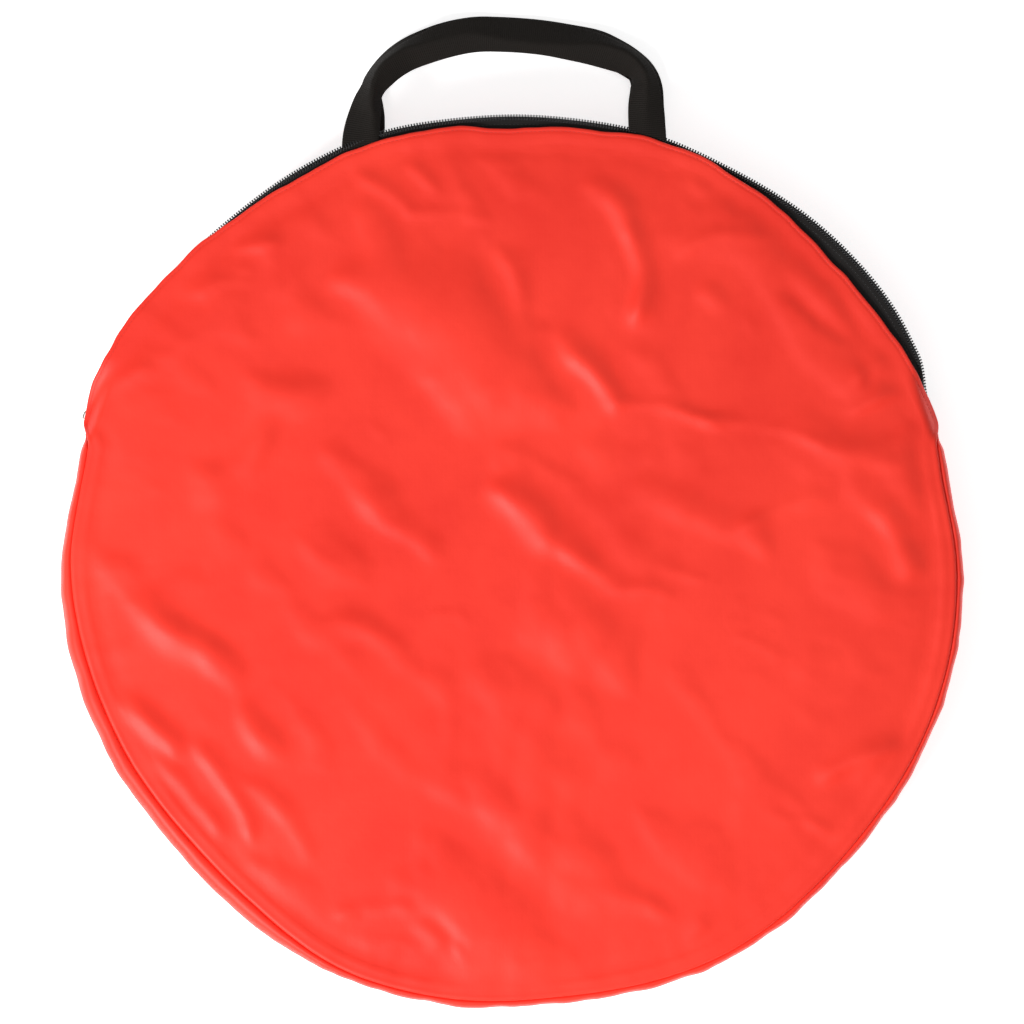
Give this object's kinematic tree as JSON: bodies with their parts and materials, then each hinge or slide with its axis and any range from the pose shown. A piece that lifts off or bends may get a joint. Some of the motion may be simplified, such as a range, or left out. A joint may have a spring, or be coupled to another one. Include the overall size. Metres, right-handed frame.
{
  "type": "agility tunnel in carry bag",
  "caption": "Dog agility tunnel packed flat in its round zipped carry bag: spring wire tunnel, red cloth bag, webbing handles, zip.",
  "frame": {"origin": "middle of the back panel's outer face, on the surface that the bag lies on", "axes": "+Z out of the front panel, +Y towards the carry handles, +X to the right as seen from the front"},
  "size_m": [0.6018, 0.662, 0.055],
  "materials": {
    "bag_cloth": "satin",
    "tunnel_cloth": "satin",
    "webbing": "matte",
    "strap_webbing": "matte",
    "zip_tape": "matte",
    "seam_binding": "matte",
    "hem_binding": "matte",
    "hook_and_loop": "matte",
    "zip_teeth": "satin",
    "zip_metal": "gloss",
    "spring_steel": "satin"
  },
  "bodies": {
    "bag": {"back_panel": "bag_cloth", "front_panel": "bag_cloth", "gusset": "bag_cloth", "front_seam_binding": "seam_binding", "back_seam_binding": "seam_binding", "back_zip_tape": "zip_tape", "back_zip_teeth": "zip_teeth", "left_zip_end": "zip_tape", "right_zip_end": "zip_tape", "back_handle_foot_left": "webbing", "back_handle_foot_right": "webbing"},
    "front_flap": {"front_flap": "bag_cloth", "front_zip_tape": "zip_tape", "front_zip_teeth": "zip_teeth", "front_handle_foot_left": "webbing", "front_handle_foot_right": "webbing"},
    "zip_slider": {"zip_slider": "zip_metal"},
    "pull_tab": {"pull_tab": "zip_metal"},
    "front_handle": {"front_handle": "webbing"},
    "back_handle": {"back_handle": "webbing"},
    "tunnel_pack": {"tunnel_fabric": "tunnel_cloth", "helix_wire": "spring_steel", "lower_end_hoop": "spring_steel", "lower_end_hoop_ferrule": "spring_steel", "lower_end_hem": "hem_binding", "upper_end_hoop": "spring_steel", "upper_end_hoop_ferrule": "spring_steel", "upper_end_hem": "hem_binding", "closing_strap_1": "strap_webbing", "strap_patch_1": "hook_and_loop", "peg_loop_1": "strap_webbing", "closing_strap_2": "strap_webbing", "strap_patch_2": "hook_and_loop", "peg_loop_2": "strap_webbing", "closing_strap_3": "strap_webbing", "strap_patch_3": "hook_and_loop", "peg_loop_3": "strap_webbing", "closing_strap_4": "strap_webbing", "strap_patch_4": "hook_and_loop", "peg_loop_4": "strap_webbing"}
  },
  "joints": [
    {"name": "flap_fold", "type": "hinge", "parent": "bag", "child": "front_flap", "pos_m": [0, 0.08293, 0.0552], "axis": [1, 0, 0], "range_deg": [0, 150]},
    {"name": "slider_travel", "type": "hinge", "parent": "bag", "child": "zip_slider", "pos_m": [0, 0, 0.0265], "axis": [0, 0, -1], "range_deg": [0, 139]},
    {"name": "pull_swing", "type": "hinge", "parent": "zip_slider", "child": "pull_tab", "pos_m": [-0.28464, 0.09634, 0.0265], "axis": [0, 0, 1], "range_deg": [0, 165]},
    {"name": "front_handle_swing", "type": "hinge", "parent": "front_flap", "child": "front_handle", "pos_m": [0, 0.2825, 0.0517], "axis": [1, 0, 0], "range_deg": [0, 130]},
    {"name": "back_handle_swing", "type": "hinge", "parent": "bag", "child": "back_handle", "pos_m": [0, 0.2825, 0], "axis": [1, 0, 0], "range_deg": [-165, 0]},
    {"name": "pack_slide", "type": "slide", "parent": "bag", "child": "tunnel_pack", "axis": [0, 1, 0], "range_m": [0, 0.65]}
  ]
}
